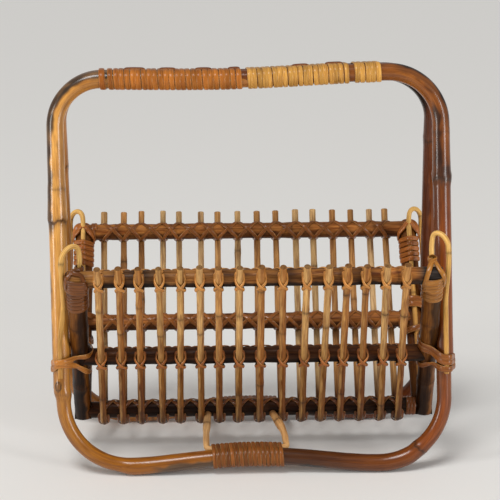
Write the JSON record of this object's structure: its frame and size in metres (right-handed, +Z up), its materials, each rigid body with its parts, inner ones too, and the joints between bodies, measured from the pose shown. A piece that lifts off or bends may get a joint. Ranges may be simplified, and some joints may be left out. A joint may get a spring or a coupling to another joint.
{
  "type": "magazine basket",
  "caption": "Free-standing magazine basket of bent bamboo poles and rattan: a slatted V-shaped pocket hung between rounded hoops that meet under one wrapped carrying handle.",
  "frame": {"origin": "on the floor under the middle of the rack, at the centre of its overall width and depth", "axes": "+X along the rack to its right end as seen from the front, +Y from the front panel to the rear panel, +Z up"},
  "size_m": [0.4137, 0.2469, 0.4071],
  "materials": {
    "golden_pole": "bamboo or rattan pole, clear lacquer, satin to gloss",
    "brown_pole": "red-brown rattan pole, clear lacquer, satin to gloss",
    "dark_rail": "dark scorched bamboo, satin",
    "golden_rail": "mottled golden bamboo, satin",
    "post_bamboo": "brown bamboo, satin",
    "honey_rod": "honey rattan, satin",
    "pale_cane": "pale rattan cane, matt to satin",
    "red_lashing": "split cane, red-brown, glossy",
    "pale_lashing": "split cane, honey, glossy",
    "orange_wrap": "flat split cane, orange, satin",
    "yellow_wrap": "flat split cane, yellow, satin"
  },
  "bodies": {
    "root": {"front_hoop_left": "golden_pole", "front_hoop_right": "brown_pole", "rear_hoop_left": "golden_pole", "rear_hoop_right": "brown_pole", "front_post_left": "post_bamboo", "front_post_right": "post_bamboo", "front_top_rail": "golden_rail", "front_middle_rail": "dark_rail", "rear_post_left": "post_bamboo", "rear_post_right": "post_bamboo", "rear_top_rail": "golden_rail", "rear_middle_rail": "golden_rail", "bottom_rail": "dark_rail", "rod_01": "honey_rod", "rod_02": "honey_rod", "rod_03": "honey_rod", "rod_04": "honey_rod", "rod_05": "honey_rod", "rod_06": "honey_rod", "rod_07": "honey_rod", "rod_08": "honey_rod", "rod_09": "honey_rod", "rod_10": "honey_rod", "rod_11": "honey_rod", "rod_12": "honey_rod", "rod_13": "honey_rod", "rod_14": "honey_rod", "rod_15": "honey_rod", "rod_16": "honey_rod", "handle_wrap_left": "orange_wrap", "handle_wrap_right": "yellow_wrap", "front_foot_bracket": "pale_cane", "rear_foot_bracket": "pale_cane", "front_foot_wrap": "orange_wrap", "rear_foot_wrap": "orange_wrap", "front_top_rail_lashing": "pale_lashing", "front_middle_rail_lashing": "pale_lashing", "rear_top_rail_lashing": "red_lashing", "rear_middle_rail_lashing": "red_lashing", "bottom_rail_lashing": "red_lashing", "front_corner_loop_left": "pale_cane", "front_corner_loop_right": "pale_cane", "rear_corner_loop_left": "pale_cane", "rear_corner_loop_right": "pale_cane", "front_corner_lashing_left": "red_lashing", "front_middle_tie_left": "pale_lashing", "front_corner_lashing_right": "red_lashing", "front_middle_tie_right": "red_lashing", "rear_corner_lashing_left": "red_lashing", "rear_middle_tie_left": "pale_lashing", "rear_corner_lashing_right": "red_lashing", "rear_middle_tie_right": "red_lashing"}
  },
  "joints": []
}
